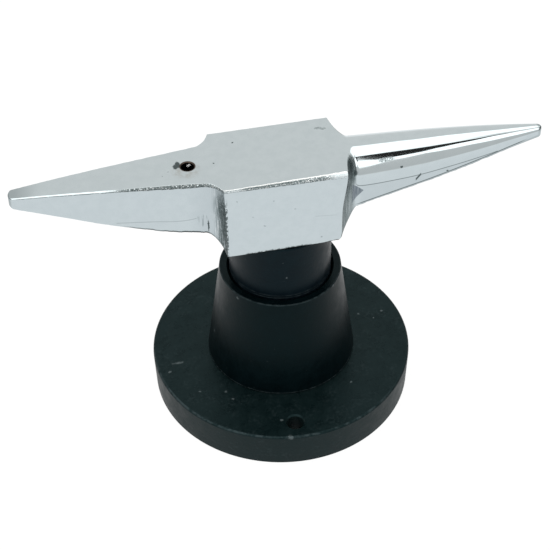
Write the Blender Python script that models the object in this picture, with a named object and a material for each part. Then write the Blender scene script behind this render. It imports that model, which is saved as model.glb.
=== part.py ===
"""Small bench anvil: a chromed double-horn head on a black pedestal, clamped by one bolt.

Frame: +X runs along the round horn, +Z is up, and the origin is the centre of the foot's
underside. Every length is in metres. The stack, from the bench up, is a round foot with
two mounting holes, a tapered pedestal located on the foot's hub, a plain post seated in
the pedestal's socket, and the forged head. An M8 screw passes up through all of them from
a recess under the foot and threads into the head.
"""

from math import cos, pi, radians, sin, sqrt

import bmesh
import bpy
from mathutils import Vector

MM = 0.001
GAP = 0.3 * MM                      # clearance left between pieces that touch
PAST = 1 * MM                       # how far a cutter runs past the face it opens
TURNED_STEPS = 72                   # facets round the pedestal and the post
FOOT_STEPS = 96
SMALL_TURNED_STEPS = 48             # facets round the screw and the plain washer
TAPPED_HOLE_STEPS = 32
MOUNT_HOLE_STEPS = 24
SHARP_ANGLE = radians(32)

# Foot, pedestal and post
FOOT_RADIUS = 38.1 * MM             # a 3 inch disc
FOOT_HEIGHT = 11.4 * MM
FOOT_TOP_EDGE = 0.7 * MM
FOOT_BOTTOM_EDGE = 0.45 * MM
FOOT_DRAFT = 0.35 * MM              # the disc narrows this much towards the bench
HUB_RADIUS = 15.0 * MM
HUB_HEIGHT = 5.0 * MM
RECESS_RADIUS = 10.5 * MM
MOUNT_CIRCLE_RADIUS = 32.3 * MM
MOUNT_HOLE_RADIUS = 2.4 * MM
MOUNT_HOLE_LIP = 0.45 * MM
MOUNT_HOLE_BEARING = radians(-95)   # first hole, measured from +X
PEDESTAL_FOOT_RADIUS = 21.6 * MM
PEDESTAL_RIM_RADIUS = 17.3 * MM
PEDESTAL_RIM_FLARE = 0.15 * MM      # added to the rim's radius at its broken edge
PEDESTAL_RIM_EDGE = (0.2 * MM, 0.3 * MM)        # broken edge, across and down
PEDESTAL_TOP = 43.2 * MM
SOCKET_DEPTH = 8.0 * MM
SOCKET_CHAMFER = 0.5 * MM
POST_RADIUS = 14.5 * MM
POST_EDGE = 0.5 * MM

# Head: its own middle plane lies in front of the post's axis, so the block's front is flush
HEAD_TOP = 85.0 * MM
HEAD_BOTTOM = 61.75 * MM
HEAD_FORWARD = 1.95 * MM
BLOCK_HALF_WIDTH = 12.5 * MM
BLOCK_END_FLAT = 17.6 * MM          # from the post's axis to the block's end, flat horn side
BLOCK_END_ROUND = 15.5 * MM         # the same on the round horn's side
BLOCK_EDGE = 0.5 * MM
HORN_HOLE = (-25.05 * MM, -HEAD_FORWARD)
HORN_HOLE_RADIUS = 2.05 * MM

# Horn stations in mm: reach from the post's axis, half width, drop of the top, depth below it
FLAT_HORN = ((22.5, 8.15, 0.0, 17.2), (32.2, 6.95, 0.0, 15.9), (46.1, 5.3, 0.05, 12.25),
             (60.0, 3.55, 0.25, 7.6), (72.45, 1.95, 0.6, 3.3))
ROUND_HORN = ((19.65, 8.4, 0.0, 15.9), (29.4, 7.85, 0.45, 13.4), (41.35, 6.85, 0.95, 10.7),
              (55.25, 4.9, 1.75, 7.45), (65.2, 3.1, 2.5, 5.15), (73.15, 1.4, 3.25, 3.6))
FLAT_HORN_OFFSET = -0.3 * MM        # the flat horn sits a little to one side
FLAT_HORN_EDGE = 0.4 * MM           # rounding of each horn's lower edges
ROUND_HORN_EDGE = 0.8 * MM
ROUND_HORN_CROWN = 0.94             # radius of the round top over the half width
TIP_ROUNDING = 1.2 * MM
TIP_ARC = radians(72)               # how far the rounding turns before the tip's small flat
CROWN_LIMIT = 1.2                   # largest top radius over the horn's half depth
EDGE_LIMIT = 0.4                    # largest lower radius over the horn's half width or depth
TOP_CORNER_STEPS = 8
BOTTOM_CORNER_STEPS = 3
FILLET_STEPS = 7                    # lofted sections in each root fillet, horn and tip
HORN_STEPS = 14
TIP_STEPS = 4

# Clamp screw and washers: M8 low-head socket screw, split washer, plain washer
THREAD_RADIUS = 4.0 * MM
BORE_RADIUS = 4.4 * MM
SCREW_LENGTH = 65.0 * MM
SCREW_HEAD_RADIUS = 6.5 * MM
SCREW_HEAD_HEIGHT = 5.0 * MM
SCREW_HEAD_EDGE = 0.6 * MM
SCREW_TIP = 0.8 * MM
SCREW_CLEARANCE = 1.6 * MM          # from the bench to the screw's head
KEY_ACROSS_FLATS = 5.0 * MM
KEY_DEPTH = 2.6 * MM
SPLIT_WASHER = (4.3 * MM, 7.4 * MM, 2.0 * MM)   # inner radius, outer radius, thickness
SPLIT_WASHER_RISE = 0.5 * MM
SPLIT_WASHER_SLIT = radians(9)
SPLIT_WASHER_STEPS = 40
PLAIN_WASHER = (4.3 * MM, 8.0 * MM, 1.6 * MM)
PLAIN_WASHER_EDGE = 0.2 * MM
TAPPED_HOLE_TOP = HEAD_BOTTOM + 15.0 * MM

# Heights of the clamp stack, from the bench up
SCREW_SEAT = SCREW_CLEARANCE + SCREW_HEAD_HEIGHT
SPLIT_WASHER_BOTTOM = SCREW_SEAT + GAP
PLAIN_WASHER_BOTTOM = SPLIT_WASHER_BOTTOM + SPLIT_WASHER[2] + SPLIT_WASHER_RISE + GAP
RECESS_DEPTH = PLAIN_WASHER_BOTTOM + PLAIN_WASHER[2] + GAP
PEDESTAL_BOTTOM = FOOT_HEIGHT + GAP
COUNTERBORE_TOP = FOOT_HEIGHT + HUB_HEIGHT + GAP
SOCKET_FLOOR = PEDESTAL_TOP - SOCKET_DEPTH


def clear_scene():
    for old in list(bpy.data.objects):
        bpy.data.objects.remove(old, do_unlink=True)


def make_material(name, colour, roughness, metallic):
    material = bpy.data.materials.new(name)
    material.use_nodes = True
    shader = material.node_tree.nodes["Principled BSDF"]
    shader.inputs["Base Color"].default_value = (*colour, 1.0)
    shader.inputs["Roughness"].default_value = roughness
    shader.inputs["Metallic"].default_value = metallic
    return material


def add_object(name, bm, material=None, parent=None):
    """Turn a bmesh into a smooth-shaded object with sharp edges kept."""
    bmesh.ops.recalc_face_normals(bm, faces=bm.faces)
    mesh = bpy.data.meshes.new(name)
    bm.to_mesh(mesh)
    bm.free()
    mesh.shade_smooth()
    mesh.set_sharp_from_angle(angle=SHARP_ANGLE)
    if material:
        mesh.materials.append(material)
    obj = bpy.data.objects.new(name, mesh)
    obj.parent = parent
    bpy.context.collection.objects.link(obj)
    return obj


def add_empty(name, height, parent=None):
    empty = bpy.data.objects.new(name, None)
    empty.location = (0, 0, height - (parent.location.z if parent else 0))
    empty.parent = parent
    bpy.context.collection.objects.link(empty)
    return empty


def cut(target, cutter):
    """Subtract a cutter, and keep the cutter out of the model."""
    cutter.hide_render = True
    cutter.display_type = "WIRE"
    boolean = target.modifiers.new("cut_" + cutter.name, "BOOLEAN")
    boolean.operation = "DIFFERENCE"
    boolean.solver = "EXACT"
    boolean.object = cutter


def turned(outline, steps=TURNED_STEPS):
    """Spin an outline of (radius, height) points round Z.

    A point at radius zero becomes a pole. When no point is on the axis the outline closes
    on itself and leaves a through hole.
    """
    bm = bmesh.new()
    rings = []
    for radius, height in outline:
        if radius == 0:
            rings.append([bm.verts.new((0, 0, height))])
            continue
        angles = [2 * pi * k / steps for k in range(steps)]
        rings.append([bm.verts.new((radius * cos(a), radius * sin(a), height)) for a in angles])
    pairs = list(zip(rings, rings[1:]))
    if len(rings[0]) > 1:
        pairs.append((rings[-1], rings[0]))
    for lower, upper in pairs:
        for k in range(steps):
            n = (k + 1) % steps
            if len(lower) == 1:
                bm.faces.new((lower[0], upper[n], upper[k]))
            elif len(upper) == 1:
                bm.faces.new((lower[k], lower[n], upper[0]))
            else:
                bm.faces.new((lower[k], lower[n], upper[n], upper[k]))
    return bm


def edge_arc(centre_radius, centre_height, radius, start, end, steps=4):
    """Points of a rounded edge, as (radius, height), angles in degrees."""
    points = []
    for k in range(steps + 1):
        angle = radians(start + (end - start) * k / steps)
        points.append((centre_radius + radius * cos(angle), centre_height + radius * sin(angle)))
    return points


def make_foot(material):
    side = FOOT_RADIUS - FOOT_DRAFT
    outline = [(RECESS_RADIUS, 0), (side - FOOT_BOTTOM_EDGE, 0), (side, FOOT_BOTTOM_EDGE)]
    outline += edge_arc(FOOT_RADIUS - FOOT_TOP_EDGE, FOOT_HEIGHT - FOOT_TOP_EDGE, FOOT_TOP_EDGE, 0, 90)
    outline += [(HUB_RADIUS, FOOT_HEIGHT), (HUB_RADIUS, FOOT_HEIGHT + HUB_HEIGHT)]
    outline += [(BORE_RADIUS, FOOT_HEIGHT + HUB_HEIGHT), (BORE_RADIUS, RECESS_DEPTH)]
    outline += [(RECESS_RADIUS, RECESS_DEPTH)]
    foot = add_object("base_flange", turned(outline, FOOT_STEPS), material)
    for index in range(2):
        bearing = MOUNT_HOLE_BEARING + pi * index
        drill = add_object(f"mount_drill_{index}", mount_hole_cutter())
        drill.location = (MOUNT_CIRCLE_RADIUS * cos(bearing), MOUNT_CIRCLE_RADIUS * sin(bearing), 0)
        cut(foot, drill)
    return foot


def mount_hole_cutter():
    lip = MOUNT_HOLE_RADIUS + MOUNT_HOLE_LIP
    outline = [(0, -PAST), (MOUNT_HOLE_RADIUS, -PAST), (MOUNT_HOLE_RADIUS, FOOT_HEIGHT - MOUNT_HOLE_LIP),
               (lip, FOOT_HEIGHT), (lip, FOOT_HEIGHT + PAST), (0, FOOT_HEIGHT + PAST)]
    return turned(outline, MOUNT_HOLE_STEPS)


def make_pedestal(material):
    """Tapered pedestal: a counterbore sits over the foot's hub, a socket holds the post."""
    counterbore = HUB_RADIUS + GAP
    socket = POST_RADIUS + GAP
    across, down = PEDESTAL_RIM_EDGE
    outline = [(counterbore, PEDESTAL_BOTTOM), (PEDESTAL_FOOT_RADIUS, PEDESTAL_BOTTOM),
               (PEDESTAL_RIM_RADIUS + PEDESTAL_RIM_FLARE, PEDESTAL_TOP - down),
               (PEDESTAL_RIM_RADIUS - across, PEDESTAL_TOP),
               (socket + SOCKET_CHAMFER, PEDESTAL_TOP), (socket, PEDESTAL_TOP - SOCKET_CHAMFER),
               (socket, SOCKET_FLOOR), (BORE_RADIUS, SOCKET_FLOOR),
               (BORE_RADIUS, COUNTERBORE_TOP), (counterbore, COUNTERBORE_TOP)]
    return add_object("pedestal", turned(outline), material)


def make_post(material, parent):
    bottom = SOCKET_FLOOR + GAP - parent.location.z
    top = HEAD_BOTTOM - GAP - parent.location.z
    inner = POST_RADIUS - POST_EDGE
    outline = [(BORE_RADIUS, bottom), (inner, bottom), (POST_RADIUS, bottom + POST_EDGE),
               (POST_RADIUS, top - POST_EDGE), (inner, top), (BORE_RADIUS, top)]
    return add_object("post", turned(outline), material, parent)


def smooth_station(stations, reach):
    """Half width, drop and depth at a distance along a horn, in metres, by cubic spans."""
    x = reach / MM
    spans = len(stations) - 1
    index = 0
    while index < spans - 1 and x > stations[index + 1][0]:
        index += 1
    first = stations[max(index - 1, 0)]
    near, far = stations[index], stations[index + 1]
    last = stations[min(index + 2, spans)]
    width = far[0] - near[0]
    t = (x - near[0]) / width
    values = []
    for column in range(1, 4):
        slope_near = (far[column] - first[column]) / (far[0] - first[0]) * width
        slope_far = (last[column] - near[column]) / (last[0] - near[0]) * width
        values.append((2 * t ** 3 - 3 * t ** 2 + 1) * near[column] + (t ** 3 - 2 * t ** 2 + t) * slope_near
                      + (3 * t ** 2 - 2 * t ** 3) * far[column] + (t ** 3 - t ** 2) * slope_far)
    return [value * MM for value in values]


def section_ring(half_width, top, bottom, top_radius, bottom_radius):
    """A rounded box in the YZ plane, as (y, z) points, anticlockwise from the lower right."""
    low, high = bottom + bottom_radius, top - top_radius
    corners = ((1, low, bottom_radius, -90, BOTTOM_CORNER_STEPS),
               (1, high, top_radius, 0, TOP_CORNER_STEPS),
               (-1, high, top_radius, 90, TOP_CORNER_STEPS),
               (-1, low, bottom_radius, 180, BOTTOM_CORNER_STEPS))
    points = []
    for side, centre_z, radius, start, steps in corners:
        centre_y = side * (half_width - radius)
        for k in range(steps + 1):
            angle = radians(start + 90 * k / steps)
            points.append((centre_y + radius * cos(angle), centre_z + radius * sin(angle)))
    return points


def sideways(ring, offset):
    return [(y + offset, z) for y, z in ring]


def horn_sections(stations, block_end, roundness, bottom_edge, offset):
    """Sections of one horn from the block's end to its tip, as (reach, ring) pairs.

    A quarter-round root fillet blends the horn into the block's end, in plan and underneath.
    """
    sections = []
    start = stations[0][0] * MM
    root_width, _, root_depth = smooth_station(stations, start)
    for k in range(FILLET_STEPS + 1):
        angle = pi / 2 * k / FILLET_STEPS
        reach = block_end + (start - block_end) * (1 - cos(angle))
        blend = 1 - sin(angle)
        half_width = root_width + (BLOCK_HALF_WIDTH - root_width) * blend
        depth = root_depth + (HEAD_TOP - HEAD_BOTTOM - root_depth) * blend
        top_radius = BLOCK_EDGE + (max(roundness * root_width, BLOCK_EDGE) - BLOCK_EDGE) * (1 - blend)
        ring = section_ring(half_width, HEAD_TOP, HEAD_TOP - depth, top_radius, bottom_edge)
        sections.append((reach, sideways(ring, offset * (1 - blend))))
    neck = stations[-1][0] * MM - TIP_ROUNDING
    for k in range(1, HORN_STEPS + 1):
        reach = start + (neck - start) * k / HORN_STEPS
        sections.append((reach, sideways(horn_ring(stations, reach, 1.0, roundness, bottom_edge), offset)))
    for k in range(1, TIP_STEPS + 1):
        angle = TIP_ARC * k / TIP_STEPS
        reach = neck + TIP_ROUNDING * sin(angle) / sin(TIP_ARC)
        ring = horn_ring(stations, reach, cos(angle), roundness, bottom_edge)
        sections.append((reach, sideways(ring, offset)))
    return sections


def horn_ring(stations, reach, shrink, roundness, bottom_edge):
    """One horn section, shrunk about its own middle where the tip rounds off."""
    half_width, drop, depth = smooth_station(stations, min(reach, stations[-1][0] * MM))
    middle = HEAD_TOP - drop - depth / 2
    half_width *= shrink
    half_depth = depth / 2 * shrink
    top_radius = max(min(roundness * half_width, half_depth * CROWN_LIMIT), BLOCK_EDGE * shrink)
    edge = min(bottom_edge, half_width * EDGE_LIMIT, half_depth * EDGE_LIMIT)
    return section_ring(half_width, middle + half_depth, middle - half_depth, top_radius, edge)


def head_blank():
    """Loft the whole head from the flat horn's tip, through the block, to the round tip."""
    flat_side = horn_sections(FLAT_HORN, BLOCK_END_FLAT, 0.0, FLAT_HORN_EDGE, FLAT_HORN_OFFSET)
    flat_side = [(-reach, ring) for reach, ring in reversed(flat_side)]
    round_side = horn_sections(ROUND_HORN, BLOCK_END_ROUND, ROUND_HORN_CROWN, ROUND_HORN_EDGE, 0.0)
    bm = bmesh.new()
    rings = []
    for x, ring in flat_side + round_side:
        rings.append([bm.verts.new((x, y, z)) for y, z in ring])
    count = len(rings[0])
    for before, after in zip(rings, rings[1:]):
        for k in range(count):
            n = (k + 1) % count
            bm.faces.new((before[k], before[n], after[n], after[k]))
    bm.faces.new(rings[0])
    bm.faces.new(reversed(rings[-1]))
    return bm


def cylinder_cutter(name, radius, low, high, centre, parent=None):
    drop = parent.location.z if parent else 0
    outline = [(0, low), (radius, low), (radius, high), (0, high)]
    cutter = add_object(name, turned(outline, TAPPED_HOLE_STEPS), None, parent)
    cutter.location = (centre[0], centre[1], -drop)
    return cutter


def make_head(material, parent):
    blank = head_blank()
    bmesh.ops.translate(blank, vec=Vector((0, -HEAD_FORWARD, -parent.location.z)), verts=blank.verts)
    head = add_object("anvil_head", blank, material, parent)
    cut(head, cylinder_cutter("horn_drill", HORN_HOLE_RADIUS, HEAD_BOTTOM, HEAD_TOP + PAST,
                              HORN_HOLE, parent))
    cut(head, cylinder_cutter("tapping_drill", THREAD_RADIUS + GAP, HEAD_BOTTOM - PAST, TAPPED_HOLE_TOP,
                              (0, 0), parent))
    return head


def make_screw(material, parent):
    """Socket screw: its origin is on the screw's axis, at the seat under its head."""
    low = -SCREW_HEAD_HEIGHT
    outline = [(0, low), (SCREW_HEAD_RADIUS - SCREW_HEAD_EDGE, low),
               (SCREW_HEAD_RADIUS, low + SCREW_HEAD_EDGE),
               (SCREW_HEAD_RADIUS, 0), (THREAD_RADIUS, 0), (THREAD_RADIUS, SCREW_LENGTH - SCREW_TIP),
               (THREAD_RADIUS - SCREW_TIP, SCREW_LENGTH), (0, SCREW_LENGTH)]
    screw = add_object("clamp_bolt", turned(outline, SMALL_TURNED_STEPS), material, parent)
    corner = KEY_ACROSS_FLATS / sqrt(3)
    key_top = low + KEY_DEPTH
    hexagon = turned([(0, low - PAST), (corner, low - PAST), (corner, key_top), (0, key_top + PAST)], 6)
    key = add_object("key_broach", hexagon, None, parent)
    cut(screw, key)
    return screw


def make_split_washer(material, parent):
    """Spring washer: a square-section ring, cut once and sprung into a shallow helix."""
    inner, outer, thickness = SPLIT_WASHER
    base = SPLIT_WASHER_BOTTOM - parent.location.z
    bm = bmesh.new()
    rings = []
    for k in range(SPLIT_WASHER_STEPS + 1):
        share = k / SPLIT_WASHER_STEPS
        angle = SPLIT_WASHER_SLIT / 2 + (2 * pi - SPLIT_WASHER_SLIT) * share
        low = base + SPLIT_WASHER_RISE * share
        corners = ((inner, low), (outer, low), (outer, low + thickness), (inner, low + thickness))
        rings.append([bm.verts.new((r * cos(angle), r * sin(angle), z)) for r, z in corners])
    for before, after in zip(rings, rings[1:]):
        for k in range(4):
            n = (k + 1) % 4
            bm.faces.new((before[k], before[n], after[n], after[k]))
    bm.faces.new(rings[0])
    bm.faces.new(reversed(rings[-1]))
    return add_object("spring_washer", bm, material, parent)


def make_plain_washer(material, parent):
    inner, outer, thickness = PLAIN_WASHER
    low = PLAIN_WASHER_BOTTOM - parent.location.z
    high = low + thickness
    flat = outer - PLAIN_WASHER_EDGE
    outline = [(inner, low), (flat, low), (outer, low + PLAIN_WASHER_EDGE), (outer, high - PLAIN_WASHER_EDGE),
               (flat, high), (inner, high)]
    return add_object("flat_washer", turned(outline, SMALL_TURNED_STEPS), material, parent)


def build():
    clear_scene()
    chrome = make_material("chrome", (0.78, 0.80, 0.81), 0.12, 1.0)
    foot_paint = make_material("foot_paint", (0.030, 0.040, 0.042), 0.42, 0.0)
    pedestal_paint = make_material("pedestal_paint", (0.018, 0.027, 0.031), 0.36, 0.0)
    post_paint = make_material("post_paint", (0.022, 0.031, 0.038), 0.32, 0.0)
    oxide = make_material("black_oxide", (0.035, 0.035, 0.037), 0.45, 0.9)
    spring_steel = make_material("spring_steel", (0.20, 0.20, 0.21), 0.38, 1.0)
    zinc = make_material("zinc", (0.62, 0.63, 0.65), 0.30, 1.0)

    make_foot(foot_paint)
    make_pedestal(pedestal_paint)
    swivel = add_empty("head_axis", PEDESTAL_TOP)
    make_post(post_paint, swivel)
    make_head(chrome, swivel)
    screw_axis = add_empty("screw_axis", SCREW_SEAT)
    make_split_washer(spring_steel, screw_axis)
    make_plain_washer(zinc, screw_axis)
    make_screw(oxide, screw_axis)


build()
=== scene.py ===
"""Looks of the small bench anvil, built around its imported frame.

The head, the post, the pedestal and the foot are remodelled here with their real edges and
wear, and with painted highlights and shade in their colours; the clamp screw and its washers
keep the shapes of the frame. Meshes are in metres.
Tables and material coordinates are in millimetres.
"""

from math import cos, pi, radians, sin

import bmesh
import bpy
import numpy as np
from mathutils import Matrix, Vector, noise


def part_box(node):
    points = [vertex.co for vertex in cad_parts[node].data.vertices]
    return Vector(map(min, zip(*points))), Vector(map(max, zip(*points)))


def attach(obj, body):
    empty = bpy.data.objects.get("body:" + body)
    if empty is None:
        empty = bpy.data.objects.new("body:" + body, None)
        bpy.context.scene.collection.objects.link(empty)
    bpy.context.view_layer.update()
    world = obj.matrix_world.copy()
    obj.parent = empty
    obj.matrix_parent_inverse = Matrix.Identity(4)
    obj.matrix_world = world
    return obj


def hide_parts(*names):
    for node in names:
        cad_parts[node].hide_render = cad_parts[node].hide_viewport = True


MM = 0.001
PAST = 1 * MM                       # how far a cutter runs past the face it opens
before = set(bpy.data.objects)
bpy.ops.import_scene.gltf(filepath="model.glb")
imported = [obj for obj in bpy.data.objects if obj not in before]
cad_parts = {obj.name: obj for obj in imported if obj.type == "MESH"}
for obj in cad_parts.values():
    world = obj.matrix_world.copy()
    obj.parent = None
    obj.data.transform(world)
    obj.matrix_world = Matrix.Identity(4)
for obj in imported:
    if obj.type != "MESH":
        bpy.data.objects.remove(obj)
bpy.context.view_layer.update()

# Driving dimensions, from the frame
HEAD_LOW, HEAD_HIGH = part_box("anvil_head")
POST_LOW, POST_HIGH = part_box("post")
PEDESTAL_LOW, PEDESTAL_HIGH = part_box("pedestal")
FOOT_LOW, FOOT_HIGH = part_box("base_flange")

HEAD_TOP = HEAD_HIGH.z
HEAD_BOTTOM = HEAD_LOW.z
HEAD_HEIGHT = HEAD_TOP - HEAD_BOTTOM
HEAD_MIDDLE = (HEAD_LOW.y + HEAD_HIGH.y) / 2
BLOCK_HALF_WIDTH = (HEAD_HIGH.y - HEAD_LOW.y) / 2
FOOT_RADIUS = FOOT_HIGH.x
POST_RADIUS = POST_HIGH.x
PEDESTAL_FOOT_RADIUS = PEDESTAL_HIGH.x

# Head
BLOCK_END_FLAT = 17.6 * MM
BLOCK_END_ROUND = 15.5 * MM
HORN_HOLE = Vector((-25.05 * MM, HEAD_MIDDLE, HEAD_TOP))
HORN_HOLE_RADIUS = 1.78 * MM
HORN_HOLE_LIP = 0.18 * MM           # broken edge round the hole
TAPPED_RADIUS = 4.3 * MM
TAPPED_DEPTH = 15 * MM
# Horn stations in mm: reach from the post's axis, half width, drop of the top, depth below it
FLAT_HORN = ((22.5, 8.15, 0.0, 17.2), (32.2, 6.95, 0.0, 15.9), (46.1, 5.3, 0.05, 12.25),
             (60.0, 3.55, 0.25, 7.6), (72.45, 1.95, 0.6, 3.3))
ROUND_HORN = ((19.65, 8.4, 0.0, 15.9), (29.4, 7.85, 0.45, 13.4), (41.35, 6.85, 0.95, 10.7),
              (55.25, 4.9, 1.75, 7.45), (65.2, 3.1, 2.5, 5.0), (73.15, 1.4, 3.25, 3.15))
FLAT_HORN_OFFSET = -0.3 * MM
ROUND_HORN_CROWN = 0.94
TIP_ROUNDING = 1.2 * MM
TIP_ARC = radians(72)
TIP_BLUNTNESS = 0.35                # the tips round off less in height than in width
# Radii of the long edges in mm, each as (place along X, radius)
FRONT_TOP_EDGE = ((-73, 0.4), (-60, 0.45), (-44, 0.6), (-30, 0.95), (-20, 0.85), (-16, 0.6), (-11, 0.75),
                  (2, 1.05), (15, 1.4))
BACK_TOP_EDGE = ((-73, 0.5), (16, 0.5))
BOTTOM_EDGE = ((-73, 0.4), (-50, 0.5), (-40, 0.9), (-22, 1.25), (-17, 0.45), (9, 0.5), (15, 1.0),
               (20, 1.5), (73, 1.3))
EDGE_CHATTER = 0.22                 # how unevenly the edges are rounded
END_HOLLOW_ROUND = 1.35 * MM        # how far the block's end is ground hollow, round horn side
END_HOLLOW_FLAT = 0.35 * MM
HOLLOW_REACH = 9 * MM
END_CORNER_CUT = 1.7 * MM           # worn away at the foot of the same end
HOLLOW_DEPTH = 4.5 * MM             # the hollow lies this near the front and back faces
FILLET_LEAN = 0.33                  # 0: round corner where a horn leaves the block, 1: a chamfer
FILLET_STEPS = 26
BLOCK_STEPS = 96
HORN_STEPS = 150
TIP_STEPS = 10

# Stand, with the bores and recesses of the frame's pieces
BORE_RADIUS = 4.4 * MM              # clearance for the clamp screw
FOOT_DRAFT = 0.35 * MM              # the disc narrows this much towards the bench
FOOT_TOP_EDGE = 0.7 * MM
FOOT_BOTTOM_EDGE = 0.45 * MM
HUB_RADIUS = 15.0 * MM
HUB_HEIGHT = 5.0 * MM
RECESS_RADIUS = 10.5 * MM
RECESS_TOP = 11.6 * MM
MOUNT_HOLES = 2
MOUNT_CIRCLE_RADIUS = 32.3 * MM
MOUNT_HOLE_RADIUS = 2.4 * MM
MOUNT_HOLE_LIP = 0.45 * MM
MOUNT_HOLE_BEARING = radians(-95)   # first hole, measured from +X
PEDESTAL_RIM_RADIUS = 17.3 * MM
PEDESTAL_RIM_EDGE = 0.25 * MM
PEDESTAL_RIM_FLARE = 0.1 * MM       # added to the rim's radius at its broken edge
PEDESTAL_FOOT_EDGE = 0.15 * MM
COUNTERBORE_RADIUS = 15.3 * MM
COUNTERBORE_TOP = 16.7 * MM
SOCKET_DEPTH = 8.0 * MM
SOCKET_CLEARANCE = 0.3 * MM
SOCKET_CHAMFER = 0.5 * MM
POST_EDGE = 0.5 * MM
# Facets round each turned or drilled shape
FOOT_STEPS = 240
PEDESTAL_STEPS = 200
POST_STEPS = 160
HORN_HOLE_STEPS = 64
DRILLED_STEPS = 48

# Camera
CAMERA_PLACE = Vector((-66.776, -318.783, 348.016)) * MM
CAMERA_TARGET = Vector((-1.514, 0.0, 38.776)) * MM
CAMERA_ROLL = radians(-0.825)
CAMERA_LENS = 102.43


# ---------------------------------------------------------------- node helpers

class Graph:
    """Small helper for building a node tree: values may be sockets or numbers."""

    def __init__(self, tree):
        self.tree = tree

    def put(self, socket, value):
        if isinstance(value, bpy.types.NodeSocket):
            self.tree.links.new(value, socket)
        elif value is not None:
            socket.default_value = value

    def node(self, kind, settings=None, inputs=None):
        made = self.tree.nodes.new(kind)
        for key, value in (settings or {}).items():
            setattr(made, key, value)
        for key, value in (inputs or {}).items():
            self.put(made.inputs[key], value)
        return made

    def math(self, operation, a, b=None):
        made = self.node("ShaderNodeMath", {"operation": operation})
        for socket, value in zip(made.inputs, (a, b)):
            self.put(socket, value)
        return made.outputs[0]

    def vector(self, operation, a, b=None):
        made = self.node("ShaderNodeVectorMath", {"operation": operation})
        self.put(made.inputs[0], a)
        self.put(made.inputs[1], b)
        return made.outputs["Value" if operation in ("LENGTH", "DISTANCE", "DOT_PRODUCT") else "Vector"]

    def span(self, value, low, high, out_low=0.0, out_high=1.0, smooth=True):
        made = self.node("ShaderNodeMapRange",
                         {"interpolation_type": "SMOOTHSTEP" if smooth else "LINEAR"},
                         {"Value": value, "From Min": low, "From Max": high,
                          "To Min": out_low, "To Max": out_high})
        return made.outputs["Result"]

    def noise(self, coords, scale, detail=3.0, roughness=0.5):
        made = self.node("ShaderNodeTexNoise", None,
                         {"Vector": coords, "Scale": scale, "Detail": detail,
                          "Roughness": roughness})
        return made.outputs["Fac"]

    def stretch(self, coords, scale):
        return self.node("ShaderNodeMapping", None, {"Vector": coords, "Scale": scale}).outputs[0]

    def split(self, coords):
        return self.node("ShaderNodeSeparateXYZ", None, {0: coords}).outputs

    def within(self, value, low, high, soft):
        """1 between two limits, fading over a soft distance outside them."""
        rise = self.span(value, low - soft, low)
        return self.math("MULTIPLY", rise, self.span(value, high, high + soft, 1.0, 0.0))

    def both(self, first, *others):
        for other in others:
            first = self.math("MULTIPLY", first, other)
        return first

    def either(self, first, *others):
        for other in others:
            first = self.math("MAXIMUM", first, other)
        return first

    def speckle(self, coords, scale, share, soft=0.04, detail=3.0):
        """Ragged spots that cover roughly the given share of a surface."""
        level = 0.5 + (0.5 - share) * 0.5
        return self.span(self.noise(coords, scale, detail, 0.6), level - soft, level + soft)

    def shaken(self, coords, scale, reach):
        """Coordinates pushed about by a noise, so that drawn marks get ragged borders."""
        made = self.node("ShaderNodeTexNoise", None, {"Vector": coords, "Scale": scale, "Detail": 2.0})
        centred = self.vector("SUBTRACT", made.outputs["Color"], (0.5, 0.5, 0.5))
        return self.vector("ADD", coords, self.vector("MULTIPLY", centred, (reach, reach, reach)))

    def spots(self, coords, marks):
        """1 inside any of the marks, each an ellipsoid given by its centre and half sizes."""
        covered = 0.0
        for centre, size in marks:
            local = self.node("ShaderNodeMapping", {"vector_type": "TEXTURE"},
                              {"Vector": coords, "Location": centre, "Scale": size}).outputs[0]
            inside = self.span(self.vector("LENGTH", local), 0.55, 1.0, 1.0, 0.0)
            covered = self.math("MAXIMUM", covered, inside)
        return covered

    def curve(self, value, line, handles="AUTO"):
        """The level at a value, on a line drawn through (value, level) points."""
        first, last = line[0][0], line[-1][0]
        low = min(point[1] for point in line) - 1.0
        high = max(point[1] for point in line) + 1.0
        made = self.node("ShaderNodeFloatCurve", None,
                         {"Value": self.span(value, first, last, smooth=False)})
        points = made.mapping.curves[0].points
        while len(points) < len(line):
            points.new(0.5, 0.5)
        for point, (at, level) in zip(points, line):
            point.location = ((at - first) / (last - first), (level - low) / (high - low))
            point.handle_type = handles
        made.mapping.update()
        return self.span(made.outputs[0], 0.0, 1.0, low, high, smooth=False)

    def trace(self, along, height, line, width):
        """1 on a line drawn through (along, height) points."""
        off = self.math("ABSOLUTE", self.math("SUBTRACT", height, self.curve(along, line)))
        near = self.span(off, width * 0.4, width, 1.0, 0.0)
        return self.both(near, self.within(along, line[0][0], line[-1][0], 0.3))

    def blend(self, factor, first, second):
        made = self.node("ShaderNodeMix", {"data_type": "RGBA"}, {"Factor": factor})
        self.put(made.inputs["A"], first)
        self.put(made.inputs["B"], second)
        return made.outputs["Result"]

    def bump(self, height, distance, strength=1.0, normal=None):
        made = self.node("ShaderNodeBump", None,
                         {"Height": height, "Distance": distance, "Strength": strength,
                          "Normal": normal})
        return made.outputs[0]


def rgb(red, green, blue):
    return (red, green, blue, 1.0)


def new_material(name):
    material = bpy.data.materials.new(name)
    material.use_nodes = True
    graph = Graph(material.node_tree)
    shader = material.node_tree.nodes["Principled BSDF"]
    place = graph.stretch(graph.node("ShaderNodeTexCoord").outputs["Object"], (1000, 1000, 1000))
    return material, graph, shader, place


# ---------------------------------------------------------------- stage

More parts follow.
